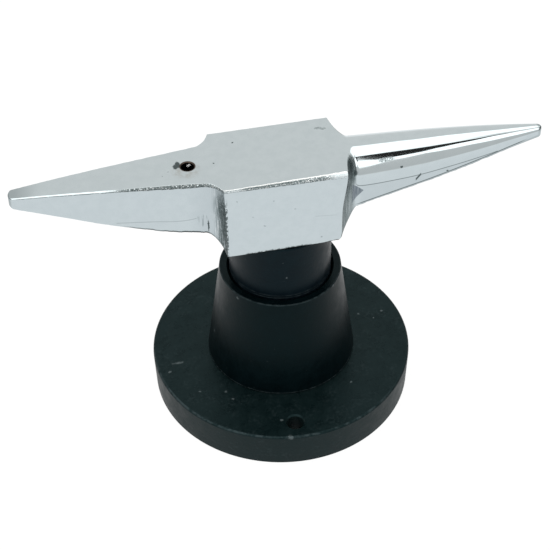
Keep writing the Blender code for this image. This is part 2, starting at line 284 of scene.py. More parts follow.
def make_camera():
    data = bpy.data.cameras.new("camera")
    data.sensor_width = 36.0
    data.lens = CAMERA_LENS
    camera = bpy.data.objects.new("camera", data)
    aim = (CAMERA_TARGET - CAMERA_PLACE).to_track_quat("-Z", "Y").to_matrix().to_4x4()
    camera.matrix_world = Matrix.Translation(CAMERA_PLACE) @ aim @ Matrix.Rotation(CAMERA_ROLL, 4, "Z")
    bpy.context.scene.collection.objects.link(camera)
    bpy.context.scene.camera = camera


# Lower side of the tent's dark gap, in degrees, against the sideways direction
GAP_BOTTOM = ((0.0, 78), (0.06, 78), (0.09, 47), (0.28, 47), (0.294, 76), (0.299, 70), (0.304, 59),
              (0.312, 54), (0.34, 55), (0.37, 60), (0.41, 66), (0.45, 71), (0.5, 74.5), (0.7, 76),
              (1.0, 77))

# Lower side of the bright soft box, in the same way
BOX_START = ((0.0, 27), (0.30, 27), (0.318, 36), (0.335, 43), (0.36, 48), (0.42, 47), (0.47, 42),
             (0.55, 38), (1.0, 38))


def make_studio():
    """White tent: a bright soft box overhead and in front, grey walls, one dark gap between."""
    world = bpy.data.worlds.new("studio")
    world.use_nodes = True
    graph = Graph(world.node_tree)
    x, y, z = graph.split(graph.node("ShaderNodeTexCoord").outputs["Generated"])
    lift = graph.math("DEGREES", graph.math("ARCTAN2", z, graph.math("MULTIPLY", y, -1.0)))
    # levels by angle in the YZ plane: 0 is the front horizon, 90 overhead, 180 behind
    level = graph.span(lift, -2.0, 4.0, 1.0, 0.74)
    box_start = graph.curve(x, BOX_START, "VECTOR")
    front_box = graph.span(graph.math("SUBTRACT", lift, box_start), -1.5, 1.5)
    level = graph.math("ADD", level, graph.math("MULTIPLY", front_box, 1.2))
    rim = graph.both(graph.span(lift, 76.0, 78.0), graph.span(lift, 88.0, 91.0, 1.0, 0.0),
                     graph.span(x, 0.38, 0.46, 0.12, 1.0))
    level = graph.math("SUBTRACT", level, graph.math("MULTIPLY", rim, 1.05))
    wall = graph.span(lift, 124.0, 129.0)
    level = graph.math("SUBTRACT", level, graph.math("MULTIPLY", wall, 1.06))
    gap_low = graph.curve(x, GAP_BOTTOM, "VECTOR")
    gap = graph.both(graph.span(graph.math("SUBTRACT", lift, gap_low), -1.0, 1.0),
                     graph.span(lift, 75.5, 78.5, 1.0, 0.0))
    lit = graph.math("SUBTRACT", 1.0, graph.math("MULTIPLY", gap, 0.985))
    level = graph.math("MULTIPLY", level, lit)
    sides = graph.span(graph.math("ABSOLUTE", x), 0.78, 0.92, 1.0, 0.12)
    background = world.node_tree.nodes["Background"]
    graph.put(background.inputs["Strength"], graph.math("MULTIPLY", level, sides))
    background.inputs["Color"].default_value = rgb(1.0, 0.985, 0.965)
    bpy.context.scene.world = world
    bpy.context.scene.view_settings.view_transform = "Standard"


def make_floor():
    """Flat sheet of white paper that glows evenly, so that it stays white right up to the foot."""
    size = 4.0
    mesh = bpy.data.meshes.new("floor")
    corners = [(-size, -size, 0), (size, -size, 0), (size, size, 0), (-size, size, 0)]
    mesh.from_pydata(corners, [], [(0, 1, 2, 3)])
    floor = bpy.data.objects.new("floor", mesh)
    floor.location.z = FOOT_LOW.z - 0.05 * MM
    bpy.context.scene.collection.objects.link(floor)
    material, graph, shader, place = new_material("paper")
    shader.inputs["Base Color"].default_value = rgb(0.06, 0.06, 0.06)
    shader.inputs["Roughness"].default_value = 0.9
    shader.inputs["Specular IOR Level"].default_value = 0.0
    shader.inputs["Emission Color"].default_value = rgb(1.0, 1.0, 1.0)
    grain = graph.noise(place, 0.9, 2.0)
    graph.put(shader.inputs["Emission Strength"], graph.span(grain, 0.0, 1.0, 0.94, 0.97))
    mesh.materials.append(material)


# ---------------------------------------------------------------- mesh helpers

def closed_mesh(name, vertices, faces):
    """A mesh whose faces all point outwards."""
    mesh = bpy.data.meshes.new(name)
    mesh.from_pydata([tuple(v) for v in vertices], [], faces)
    bm = bmesh.new()
    bm.from_mesh(mesh)
    bmesh.ops.recalc_face_normals(bm, faces=bm.faces)
    bm.to_mesh(mesh)
    bm.free()
    return mesh


def add_piece(name, vertices, faces, material, body, node):
    """Make a mesh object that stands for a CAD node and rides on its body."""
    mesh = closed_mesh(name, vertices, faces)
    mesh.shade_smooth()
    mesh.materials.append(material)
    piece = bpy.data.objects.new(name, mesh)
    bpy.context.scene.collection.objects.link(piece)
    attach(piece, body)
    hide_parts(node)
    return piece


def cut(piece, vertices, faces):
    """Cut a closed cutter out of a piece, for good."""
    mesh = closed_mesh("cutter", vertices, faces)
    cutter = bpy.data.objects.new("cutter", mesh)
    bpy.context.scene.collection.objects.link(cutter)
    boolean = piece.modifiers.new("cut", "BOOLEAN")
    boolean.operation = "DIFFERENCE"
    boolean.solver = "EXACT"
    boolean.object = cutter
    settle(piece)
    bpy.data.objects.remove(cutter)
    bpy.data.meshes.remove(mesh)


def settle(piece):
    """Apply a piece's modifiers."""
    bpy.context.view_layer.update()
    graph = bpy.context.evaluated_depsgraph_get()
    applied = bpy.data.meshes.new_from_object(piece.evaluated_get(graph))
    old = piece.data
    piece.modifiers.clear()
    piece.data = applied
    name = old.name
    bpy.data.meshes.remove(old)
    applied.name = name


def even_normals(piece, sharp=40):
    """Let the large faces rule the shading, so flats stay flat beside rounded edges."""
    piece.data.set_sharp_from_angle(angle=radians(sharp))
    weighted = piece.modifiers.new("normals", "WEIGHTED_NORMAL")
    weighted.mode = "FACE_AREA"
    weighted.weight = 80
    weighted.keep_sharp = True
    settle(piece)


def lathe(outline, steps, centre=(0.0, 0.0)):
    """Vertices and faces of an outline of (radius, height) points spun round Z.

    A point at radius zero becomes a pole; otherwise the outline closes on itself.
    """
    vertices, rings = [], []
    for radius, height in outline:
        first = len(vertices)
        if radius == 0:
            vertices.append((centre[0], centre[1], height))
            rings.append([first] * steps)
            continue
        for k in range(steps):
            angle = 2 * pi * k / steps
            vertices.append((centre[0] + radius * cos(angle), centre[1] + radius * sin(angle), height))
        rings.append([first + k for k in range(steps)])
    pairs = list(zip(rings, rings[1:]))
    if outline[0][0] > 0:
        pairs.append((rings[-1], rings[0]))
    faces = []
    for lower, upper in pairs:
        for k in range(steps):
            n = (k + 1) % steps
            loop = [lower[k], lower[n], upper[n], upper[k]]
            faces.append([v for i, v in enumerate(loop) if v != loop[i - 1]])
    return vertices, faces


def arc(centre_radius, centre_height, radius, start, end, steps=6):
    """Points of a rounded edge, as (radius, height); angles in degrees."""
    points = []
    for k in range(steps + 1):
        angle = radians(start + (end - start) * k / steps)
        points.append((centre_radius + radius * cos(angle), centre_height + radius * sin(angle)))
    return points


def loft(rings):
    """Vertices and faces of a closed skin over rings of equal length, flat at both ends."""
    count = len(rings[0])
    vertices = [point for ring in rings for point in ring]
    faces = []
    for r in range(len(rings) - 1):
        for k in range(count):
            n = (k + 1) % count
            faces.append([r * count + k, r * count + n, (r + 1) * count + n, (r + 1) * count + k])
    faces.append(list(range(count)))
    faces.append([len(vertices) - 1 - k for k in range(count)])
    return vertices, faces


# ---------------------------------------------------------------- head

def edge_radius(table, x):
    """Radius of a long edge at x, in metres, with the unevenness of hand grinding."""
    radius = np.interp(x / MM, [at for at, _ in table], [size for _, size in table])
    chatter = noise.noise(Vector((x / MM * 0.9, table[0][1] * 7, 0.3)))
    chatter += 0.5 * noise.noise(Vector((x / MM * 2.7, table[0][1] * 7, 4.1)))
    return radius * (1 + EDGE_CHATTER * chatter) * MM


def station(stations, reach):
    """Half width, drop and depth at a distance along a horn, in metres, by cubic spans."""
    x = reach / MM
    spans = len(stations) - 1
    index = 0
    while index < spans - 1 and x > stations[index + 1][0]:
        index += 1
    first = stations[max(index - 1, 0)]
    near, far = stations[index], stations[index + 1]
    last = stations[min(index + 2, spans)]
    width = far[0] - near[0]
    t = (x - near[0]) / width
    values = []
    for column in range(1, 4):
        slope_near = (far[column] - first[column]) / (far[0] - first[0]) * width
        slope_far = (last[column] - near[column]) / (last[0] - near[0]) * width
        values.append((2 * t ** 3 - 3 * t ** 2 + 1) * near[column]
                      + (t ** 3 - 2 * t ** 2 + t) * slope_near
                      + (3 * t ** 2 - 2 * t ** 3) * far[column] + (t ** 3 - t ** 2) * slope_far)
    return [value * MM for value in values]


# Section corners in order: back bottom, back top, front top, front bottom
CORNER_STARTS = (-90, 0, 90, 180)
CORNER_STEPS = (6, 16, 16, 6)
RUN_STEPS = (10, 8, 10, 8)          # up the back, across the top, down the front, under
CORNER_TURNS = ((2, 1), (1, 0), (0, 1), (1, 2))


def section(half_width, top, bottom, radii):
    """A box in the YZ plane with four rounded corners, as (y, z) points."""
    corners = []
    for index, radius in enumerate(radii):
        side = 1 if index < 2 else -1
        y = side * (half_width - radius)
        z = top - radius if index in (1, 2) else bottom + radius
        steps = CORNER_STEPS[index]
        angles = [radians(CORNER_STARTS[index] + 90 * k / steps) for k in range(steps + 1)]
        corners.append([(y + radius * cos(angle), z + radius * sin(angle)) for angle in angles])
    points = []
    for index, corner in enumerate(corners):
        points += corner
        points += between(corner[-1], corners[(index + 1) % 4][0], RUN_STEPS[index])
    return points


def section_turn():
    """How far round each point of a section lies: 0 on top, 1 on a side, 2 underneath."""
    turns = []
    for (start, end), steps, run in zip(CORNER_TURNS, CORNER_STEPS, RUN_STEPS):
        turns += [start + (end - start) * k / steps for k in range(steps + 1)]
        turns += [end] * (run - 1)
    return turns


def between(here, there, steps):
    """Points strictly between two points, evenly spaced."""
    return [(here[0] + (there[0] - here[0]) * k / steps, here[1] + (there[1] - here[1]) * k / steps)
            for k in range(1, steps)]


def corner_radii(x, half_width, depth, crown, shrink=1.0):
    """The four corner radii of a section; a crown rounds the top over most of its width."""
    bottom = min(edge_radius(BOTTOM_EDGE, x), half_width * 0.5, depth * 0.25) * shrink
    tallest = depth - bottom * 1.05
    front = min(max(edge_radius(FRONT_TOP_EDGE, x), crown), tallest, half_width * 0.98)
    back = min(max(edge_radius(BACK_TOP_EDGE, x), crown), tallest, half_width * 0.98)
    return bottom, back, front, bottom


def horn_sections(side, stations, block_end, roundness, offset):
    """Sections of one horn from the block's end to its tip, as (x, ring) pairs."""
    sections = []
    start = stations[0][0] * MM
    root_width, _, root_depth = station(stations, start)
    for k in range(FILLET_STEPS + 1):
        angle = pi / 2 * k / FILLET_STEPS
        out = (1 - cos(angle)) * (1 - FILLET_LEAN) + sin(angle) * FILLET_LEAN
        x = side * (block_end + (start - block_end) * out)
        swell = 1 - sin(angle)
        half_width = root_width + (BLOCK_HALF_WIDTH - root_width) * swell
        depth = root_depth + (HEAD_HEIGHT - root_depth) * swell
        radii = corner_radii(x, half_width, depth, roundness * root_width * (1 - swell))
        ring = section(half_width, HEAD_TOP, HEAD_TOP - depth, radii)
        sections.append((x, moved(ring, offset * (1 - swell))))
    neck = stations[-1][0] * MM - TIP_ROUNDING
    for k in range(1, HORN_STEPS + 1):
        reach = start + (neck - start) * k / HORN_STEPS
        sections.append((side * reach, moved(horn_ring(side, stations, reach, 1.0, roundness), offset)))
    for k in range(1, TIP_STEPS + 1):
        angle = TIP_ARC * k / TIP_STEPS
        reach = neck + TIP_ROUNDING * sin(angle) / sin(TIP_ARC)
        ring = horn_ring(side, stations, reach, cos(angle), roundness)
        sections.append((side * reach, moved(ring, offset)))
    return sections


def moved(ring, offset):
    return [(y + offset, z) for y, z in ring]


def horn_ring(side, stations, reach, shrink, roundness):
    """One horn section, shrunk about its own middle where the tip rounds off."""
    half_width, drop, depth = station(stations, min(reach, stations[-1][0] * MM))
    middle = HEAD_TOP - drop - depth / 2
    half_width *= shrink
    half_depth = depth / 2 * (1 - TIP_BLUNTNESS * (1 - shrink))
    radii = corner_radii(side * reach, half_width, half_depth * 2, roundness * half_width, shrink)
    return section(half_width, middle + half_depth, middle - half_depth, radii)


def ramp(value, low, high):
    """Smooth step from 0 to 1."""
    t = min(max((value - low) / (high - low), 0.0), 1.0)
    return t * t * (3 - 2 * t)


def hollowed(x, y, z):
    """Move a point of the block's ends inwards, most at half height, as their grinding left them."""
    height = (z - HEAD_BOTTOM) / HEAD_HEIGHT
    bow = ramp(1 - height, 0.0, 0.6)
    cut_away = END_CORNER_CUT * (1 - ramp(height, -0.04, 0.07))
    round_near = ramp(x, BLOCK_END_ROUND - HOLLOW_REACH, BLOCK_END_ROUND)
    round_near *= 1 - ramp(x, BLOCK_END_ROUND, ROUND_HORN[0][0] * MM)
    round_near *= ramp(abs(y), BLOCK_HALF_WIDTH - HOLLOW_DEPTH, BLOCK_HALF_WIDTH)
    flat_near = ramp(-x, BLOCK_END_FLAT - HOLLOW_REACH, BLOCK_END_FLAT)
    flat_near *= 1 - ramp(-x, BLOCK_END_FLAT, FLAT_HORN[0][0] * MM)
    return x - (END_HOLLOW_ROUND * bow + cut_away) * round_near + END_HOLLOW_FLAT * bow * flat_near


def make_head(material):
    flat_side = horn_sections(-1, FLAT_HORN, BLOCK_END_FLAT, 0.0, FLAT_HORN_OFFSET)
    round_side = horn_sections(1, ROUND_HORN, BLOCK_END_ROUND, ROUND_HORN_CROWN, 0.0)
    block = []
    for k in range(1, BLOCK_STEPS):
        x = -BLOCK_END_FLAT + (BLOCK_END_FLAT + BLOCK_END_ROUND) * k / BLOCK_STEPS
        radii = corner_radii(x, BLOCK_HALF_WIDTH, HEAD_HEIGHT, 0.0)
        block.append((x, section(BLOCK_HALF_WIDTH, HEAD_TOP, HEAD_BOTTOM, radii)))
    rings = []
    for x, ring in flat_side[::-1] + block + round_side:
        rings.append([(hollowed(x, y, z), y + HEAD_MIDDLE, z) for y, z in ring])
    vertices, faces = loft(rings)
    head = add_piece("anvil_head_skin", vertices, faces, material, "head", "anvil_head")
    turn = head.data.attributes.new("turn", "FLOAT", "POINT")
    turn.data.foreach_set("value", section_turn() * len(rings))
    lip = HORN_HOLE_LIP
    through = [(0, HEAD_BOTTOM), (HORN_HOLE_RADIUS, HEAD_BOTTOM), (HORN_HOLE_RADIUS, HEAD_TOP - lip),
               (HORN_HOLE_RADIUS + lip, HEAD_TOP), (HORN_HOLE_RADIUS + lip, HEAD_TOP + PAST),
               (0, HEAD_TOP + PAST)]
    cut(head, *lathe(through, HORN_HOLE_STEPS, HORN_HOLE[:2]))
    tapped = [(0, HEAD_BOTTOM - PAST), (TAPPED_RADIUS, HEAD_BOTTOM - PAST),
              (TAPPED_RADIUS, HEAD_BOTTOM + TAPPED_DEPTH), (0, HEAD_BOTTOM + TAPPED_DEPTH)]
    cut(head, *lathe(tapped, DRILLED_STEPS))
    even_normals(head)


# ---------------------------------------------------------------- stand

def make_foot(material):
    hub_top = FOOT_HIGH.z
    top = hub_top - HUB_HEIGHT
    side = FOOT_RADIUS - FOOT_DRAFT
    outline = [(RECESS_RADIUS, 0)]
    outline += arc(side - FOOT_BOTTOM_EDGE, FOOT_BOTTOM_EDGE, FOOT_BOTTOM_EDGE, -90, 0)
    outline += arc(FOOT_RADIUS - FOOT_TOP_EDGE, top - FOOT_TOP_EDGE, FOOT_TOP_EDGE, 0, 90, 10)
    outline += [(HUB_RADIUS, top), (HUB_RADIUS, hub_top), (BORE_RADIUS, hub_top),
                (BORE_RADIUS, RECESS_TOP), (RECESS_RADIUS, RECESS_TOP)]
    vertices, faces = lathe(outline, FOOT_STEPS)
    foot = add_piece("foot_casting", vertices, faces, material, "base", "base_flange")
    radius, lip = MOUNT_HOLE_RADIUS, MOUNT_HOLE_LIP
    drill = [(0, -PAST), (radius, -PAST), (radius, top - lip), (radius + lip, top),
             (radius + lip, top + PAST), (0, top + PAST)]
    for index in range(MOUNT_HOLES):
        bearing = MOUNT_HOLE_BEARING + pi * index
        centre = (MOUNT_CIRCLE_RADIUS * cos(bearing), MOUNT_CIRCLE_RADIUS * sin(bearing))
        cut(foot, *lathe(drill, DRILLED_STEPS, centre))
    even_normals(foot)


def make_pedestal(material):
    low, top = PEDESTAL_LOW.z, PEDESTAL_HIGH.z
    rim, edge = PEDESTAL_RIM_RADIUS, PEDESTAL_RIM_EDGE
    socket, floor = POST_RADIUS + SOCKET_CLEARANCE, top - SOCKET_DEPTH
    outline = [(COUNTERBORE_RADIUS, low), (PEDESTAL_FOOT_RADIUS - PEDESTAL_FOOT_EDGE, low),
               (PEDESTAL_FOOT_RADIUS, low + PEDESTAL_FOOT_EDGE)]
    outline += arc(rim - edge + PEDESTAL_RIM_FLARE, top - edge, edge, 8, 90)
    outline += [(socket + SOCKET_CHAMFER, top), (socket, top - SOCKET_CHAMFER), (socket, floor),
                (BORE_RADIUS, floor), (BORE_RADIUS, COUNTERBORE_TOP),
                (COUNTERBORE_RADIUS, COUNTERBORE_TOP)]
    vertices, faces = lathe(outline, PEDESTAL_STEPS)
    piece = add_piece("pedestal_casting", vertices, faces, material,
                      "base", "pedestal")
    even_normals(piece)


def make_post(material):
    low, top, edge = POST_LOW.z, POST_HIGH.z, POST_EDGE
    outline = [(BORE_RADIUS, low), (POST_RADIUS - edge, low), (POST_RADIUS, low + edge)]
    outline += arc(POST_RADIUS - edge, top - edge, edge, 0, 90)
    outline += [(BORE_RADIUS, top)]
    vertices, faces = lathe(outline, POST_STEPS)
    piece = add_piece("post_turned", vertices, faces, material, "head", "post")
    even_normals(piece)


# ---------------------------------------------------------------- materials

# Marks on the head, each a centre and half sizes in mm
HEAD_PITS = (((-11.6, 5.2, 85.0), (0.4, 0.4, 0.6)), ((-18.1, -2.2, 85.0), (0.35, 0.3, 0.6)),
             ((-0.1, -14.2, 62.1), (0.5, 0.8, 0.4)), ((31.7, -9.0, 80.1), (0.45, 0.8, 0.36)),
             ((44.9, -8.3, 75.9), (0.4, 0.8, 0.35)), ((18.9, -10.35, 81.0), (1.0, 1.6, 1.1)),
             ((-21.5, -10.6, 70.8), (0.26, 1.4, 2.6)))
FAINT_PITS = (((-32.2, -4.55, 85.0), (0.3, 0.3, 0.5)), ((-30.4, -3.1, 85.0), (0.3, 0.25, 0.5)),
              ((-7.0, -14.45, 71.3), (0.45, 0.6, 0.3)), ((1.2, -14.45, 75.7), (0.35, 0.6, 0.3)),
              ((-4.5, -14.45, 79.5), (0.3, 0.5, 0.25)), ((8.55, -14.45, 64.3), (0.35, 0.6, 0.3)),
              ((-14.3, -14.45, 81.1), (0.3, 0.6, 0.4)), ((-10.2, -14.45, 75.0), (0.3, 0.5, 0.2)))
HEAD_SMUDGES = (((12.1, 6.2, 85.0), (1.3, 0.55, 0.8)), ((13.4, 5.7, 85.0), (1.0, 0.6, 0.8)),
                ((27.7, -7.8, 82.35), (2.8, 1.6, 0.55)))
ROOT_SCUFF = (((-23.0, -10.5, 72.8), (2.3, 1.4, 2.6)),)
HOLE_CHIP = (((-27.5, -0.8, 85.0), (0.85, 1.7, 0.8)), ((-28.2, -1.5, 85.0), (0.85, 1.3, 0.8)))
HOLE_HALO = (((-25.6, -3.6, 85.0), (4.6, 3.9, 0.8)),)
HOLE_GLINT = (((-24.7, -0.2, 83.75), (0.6, 0.9, 0.45)), ((-24.2, -0.2, 84.1), (0.4, 0.9, 0.3)))
HORN_CREASE = ((18.6, 79.5), (18.9, 77.6), (20.0, 76.8), (21.9, 76.6), (29.1, 76.5), (36.2, 76.6),
             (42.6, 77.0), (51.4, 77.55), (59.5, 78.2))
HORN_TICK = ((35.9, 75.35), (37.05, 76.7))
UNDERCUT_SHADOW_LINE = ((-45.4, 73.9), (-36.0, 73.5), (-28.9, 73.1), (-24.7, 73.7))
BLOCK_SCRATCH = ((6.9, 72.0), (12.4, 71.4))
CLEAN_CHROME = rgb(0.58, 0.65, 0.675)
CLOUDED_CHROME = rgb(0.555, 0.625, 0.65)
PIT_AND_SHADE_CHROME = rgb(0.042, 0.06, 0.062)
GRIME_AND_SHADE_CHROME = rgb(0.105, 0.14, 0.143)
SPECKLED_CHROME = rgb(0.085, 0.115, 0.12)
SIDE_SHADE_CHROME = rgb(0.38, 0.43, 0.46)
HIGHLIGHT_CHROME = rgb(0.95, 0.97, 0.97)
FACET_SHADE_CHROME = rgb(0.13, 0.16, 0.19)
BROWN_CHROME = rgb(0.40, 0.40, 0.37)
HOLE_SHADE = rgb(0.012, 0.012, 0.013)
HOLE_SHADE_MOTTLE = rgb(0.075, 0.082, 0.062)
HOLE_RUST = rgb(0.07, 0.055, 0.045)


def chrome():
    """Old nickel and chrome plate: clear on the flats, pitted on the edges, grimy in the corners, with
    painted highlights and painted shade.
    """
    material, graph, shader, place = new_material("chrome_plate")
    x, y, z = graph.split(place)
    turn = graph.node("ShaderNodeAttribute", {"attribute_name": "turn"}).outputs["Fac"]
    normal_x = graph.split(graph.node("ShaderNodeTexCoord").outputs["Normal"])[0]
    ragged = graph.shaken(place, 1.6, 0.7)
    front = graph.span(y, -3.0, -1.0, 1.0, 0.0)

    mottle = graph.noise(place, 0.35, 4.0, 0.6)
    colour = graph.blend(graph.span(mottle, 0.35, 0.65), CLOUDED_CHROME, CLEAN_CHROME)

    # painted shade: the sides and undersides are dulled, most below the round horn's crease and at the flat
    # horn's root
    flank = graph.both(graph.span(graph.math("SUBTRACT", z, graph.curve(x, HORN_CREASE)), -0.3, 0.3, 1.0, 0.0),
                       graph.span(x, 18.0, 21.0))
    root = graph.both(graph.span(x, -34.0, -20.0), graph.span(x, -18.0, -17.0, 1.0, 0.0))
    side_shade = graph.either(0.24, graph.both(flank, 0.36), graph.both(root, 0.46))
    side_shade = graph.both(side_shade, graph.span(turn, 0.5, 1.0))
    colour = graph.blend(side_shade, colour, SIDE_SHADE_CHROME)

    # speckled, pitted plate along the worn edges, with painted highlights and painted shade on the edges and
    # tips
    edge = graph.within(turn, 0.2, 0.84, 0.08)
    worn_block = graph.both(edge, front, graph.within(x, -11.0, 9.0, 4.0),
                            graph.speckle(place, 3.4, 0.7, 0.02, 1.0))
    horn_patchy = graph.speckle(graph.stretch(place, (0.7, 1, 1)), 2.8, 0.78, 0.03, 1.0)
    worn_horn = graph.both(edge, front, graph.within(x, -41.0, -22.0, 8.0), horn_patchy)
    colour = graph.blend(graph.both(worn_block, 0.9), colour, SPECKLED_CHROME)
    colour = graph.blend(graph.both(worn_horn, 0.9), colour, PIT_AND_SHADE_CHROME)
    # painted highlights: bright glints speckled along the front top edges, and a bright line along their
    # crest
    edge_glints = graph.both(edge, front, graph.within(x, -44.0, 15.5, 3.0),
                         graph.span(x, -22.0, -18.0, 0.5, 1.0),
                         graph.speckle(place, 4.4, 0.25, 0.02, 1.0))
    crest_highlight = graph.both(graph.within(turn, 0.1, 0.2, 0.08), front, graph.within(x, -17.0, 15.5, 1.0))
    colour = graph.blend(graph.either(edge_glints, crest_highlight), colour, HIGHLIGHT_CHROME)
    # painted shade: a dark line along the lower side of the block's front top bevel
    bevel_shade_line = graph.both(graph.within(turn, 0.34, 0.48, 0.08), front,
                          graph.within(x, -17.0, 1.0, 3.0), 0.6)
    colour = graph.blend(bevel_shade_line, colour, PIT_AND_SHADE_CHROME)
    lowest_line = [(reach, HEAD_TOP / MM - drop - depth) for reach, _, drop, depth in ROUND_HORN]
    underside = graph.curve(x, lowest_line)
    above = graph.math("SUBTRACT", z, underside)
    # painted shade: dark lines along the bottom edges of the round horn, the flat horn and the block
    under_round = graph.both(graph.within(above, 1.35, 1.5, 0.16), front, graph.within(x, 21.0, 66.0, 3.0))
    under_flat = graph.both(graph.within(turn, 1.07, 1.5, 0.05), front, graph.within(x, -40.0, -22.5, 5.0))
    lowest = HEAD_BOTTOM / MM
    under_block = graph.both(graph.span(graph.split(ragged)[2], lowest + 0.85, lowest + 0.5), front,
                             graph.within(x, -11.0, 4.0, 2.5), graph.speckle(place, 1.1, 0.6, 0.1))
    low_band = graph.both(graph.span(above, 1.4, 1.1), front, graph.span(x, 19.0, 22.0),
                          graph.span(turn, 1.0, 1.35, 0.35, 0.6))
    tips = graph.both(graph.span(graph.math("ABSOLUTE", x), 71.6, 72.4),
                      graph.span(z, 80.0, 83.0, 0.4, 1.0))
    tip_shade = graph.both(graph.span(x, -63.0, -72.0), graph.span(turn, 0.1, 0.3, 1.0, 0.0), 0.55)
    tip_line = graph.both(graph.within(turn, 0.72, 0.92, 0.06), front, graph.within(x, -69.0, -45.0, 3.0),
                          graph.speckle(place, 1.3, 0.62, 0.1))
    back_tip = graph.both(graph.span(x, -60.0, -70.0), graph.span(y, -2.2, -0.9),
                          graph.span(turn, 0.0, 0.3))
    # painted shade: the round horn's low band, both tips, the flat tip's top, a line under its top edge and
    # its back edge
    shaded = graph.either(low_band, tips, tip_shade, tip_line, back_tip)
    colour = graph.blend(graph.both(shaded, 0.75), colour, GRIME_AND_SHADE_CHROME)
    colour = graph.blend(graph.both(graph.either(under_round, under_flat, under_block), 0.85),
                         colour, PIT_AND_SHADE_CHROME)

    # grime in the hollow corners where the horns leave the block, with a painted highlight and a painted
    # shade facet
    steep = graph.span(graph.math("ABSOLUTE", normal_x), 0.42, 0.78)
    sheer = graph.span(graph.math("ABSOLUTE", normal_x), 0.62, 0.85)
    streaks = graph.noise(graph.stretch(place, (2.4, 2.4, 0.16)), 1.0, 4.0, 0.65)
    blotches = graph.speckle(graph.stretch(place, (1, 1, 0.6)), 1.7, 0.62, 0.04, 2.0)
    corner_left = graph.both(steep, graph.within(x, -21.5, -16.8, 0.8), graph.span(z, 84.5, 77.0, 0.4, 1.0),
                             graph.span(streaks, 0.38, 0.58, 0.1, 1.0))
    left_seam = graph.both(graph.within(x, -19.2, -16.8, 0.5), graph.span(z, 84.5, 79.0, 0.45, 1.0))
    right_seam = graph.both(graph.within(x, 14.0, 18.4, 0.6), graph.span(z, 74.0, 79.0, 0.35, 1.0))
    seams = graph.both(sheer, graph.either(left_seam, right_seam),
                       graph.span(blotches, 0.0, 1.0, 0.35, 1.0))
    chips = graph.both(graph.within(x, -17.6, -17.0, 0.2), front, graph.span(z, 83.0, 79.0),
                       graph.speckle(place, 1.9, 0.5, 0.03, 2.0))
    shallow = graph.span(normal_x, 0.3, 0.7)
    corner_right = graph.both(shallow, graph.within(x, 12.8, 21.5, 1.0),
                              graph.span(streaks, 0.35, 0.55, 0.62, 0.95))
    # painted highlight: bright streaks in the left corner, where the grime thins
    fillet_highlight = graph.both(steep, graph.within(x, -21.5, -16.8, 0.8), graph.span(streaks, 0.44, 0.36))
    colour = graph.blend(graph.both(fillet_highlight, graph.math("SUBTRACT", 1.0, sheer), 0.8), colour, HIGHLIGHT_CHROME)
    grime = graph.either(corner_left, corner_right)
    colour = graph.blend(grime, colour, GRIME_AND_SHADE_CHROME)
    scuff = graph.both(graph.spots(ragged, ROOT_SCUFF), graph.span(streaks, 0.5, 0.62), 0.45)
    colour = graph.blend(scuff, colour, GRIME_AND_SHADE_CHROME)
    colour = graph.blend(graph.both(graph.either(seams, chips), 0.85), colour, PIT_AND_SHADE_CHROME)
    # painted shade: a dark triangular facet at the front, where the round horn leaves the block's end
    facet_reach = graph.math("MULTIPLY", graph.math("SUBTRACT", 21.0, x), 0.95)
    from_facet = graph.math("ABSOLUTE", graph.math("SUBTRACT", z, 75.0))
    facet_shade = graph.both(graph.span(graph.math("SUBTRACT", facet_reach, from_facet), -0.15, 0.15), front,
                       graph.span(x, 17.4, 17.8))
    colour = graph.blend(graph.both(facet_shade, graph.span(streaks, 0.35, 0.6, 0.55, 0.95)), colour, FACET_SHADE_CHROME)

    # marks and lines, the crease and undercut lines being painted shade, the rusty ring round the horn's
    # hole, and painted shade and a painted glint inside it
    # painted shade: the dark line along the round horn's crease, and the line near the flat horn's bottom
    # edge
    lines = graph.either(graph.both(graph.trace(x, z, HORN_CREASE, 0.2), 0.7),
                         graph.trace(x, z, HORN_TICK, 0.62),
                         graph.both(graph.trace(x, z, UNDERCUT_SHADOW_LINE, 0.2), 0.28),
                         graph.both(graph.trace(x, z, BLOCK_SCRATCH, 0.2), 0.12))
    lines = graph.both(lines, front, graph.within(turn, 0.7, 1.1, 0.1))
    pits = graph.spots(ragged, HEAD_PITS)
    faint = graph.both(graph.spots(ragged, FAINT_PITS), 0.35)
    smudges = graph.both(graph.spots(ragged, HEAD_SMUDGES), graph.speckle(place, 2.4, 0.6, 0.12))
    chip = graph.spots(ragged, HOLE_CHIP)
    halo = graph.both(graph.spots(ragged, HOLE_HALO), graph.speckle(place, 0.9, 0.55, 0.2), 0.55)
    colour = graph.blend(halo, colour, BROWN_CHROME)
    colour = graph.blend(graph.both(graph.either(pits, faint, lines, chip), 0.92), colour, PIT_AND_SHADE_CHROME)
    colour = graph.blend(graph.both(smudges, 0.7), colour, GRIME_AND_SHADE_CHROME)

    # painted shade: the inside of the horn's hole is painted near black, mottled a little lighter
    hole_axis = graph.node("ShaderNodeMapping", {"vector_type": "TEXTURE"},
                           {"Vector": place, "Location": HORN_HOLE / MM, "Scale": (1, 1, 1e6)}).outputs[0]
    from_axis = graph.vector("LENGTH", hole_axis)
    bore_wall = HORN_HOLE_RADIUS / MM
    bore = graph.span(from_axis, bore_wall + 0.3, bore_wall + 0.42, 1.0, 0.0)
    lip = graph.both(bore, graph.span(z, HEAD_TOP / MM - 0.3, HEAD_TOP / MM - 0.2))
    hole_shade = graph.blend(graph.speckle(place, 1.8, 0.4, 0.08), HOLE_SHADE, HOLE_SHADE_MOTTLE)
    colour = graph.blend(bore, colour, hole_shade)
    colour = graph.blend(lip, colour, HOLE_RUST)
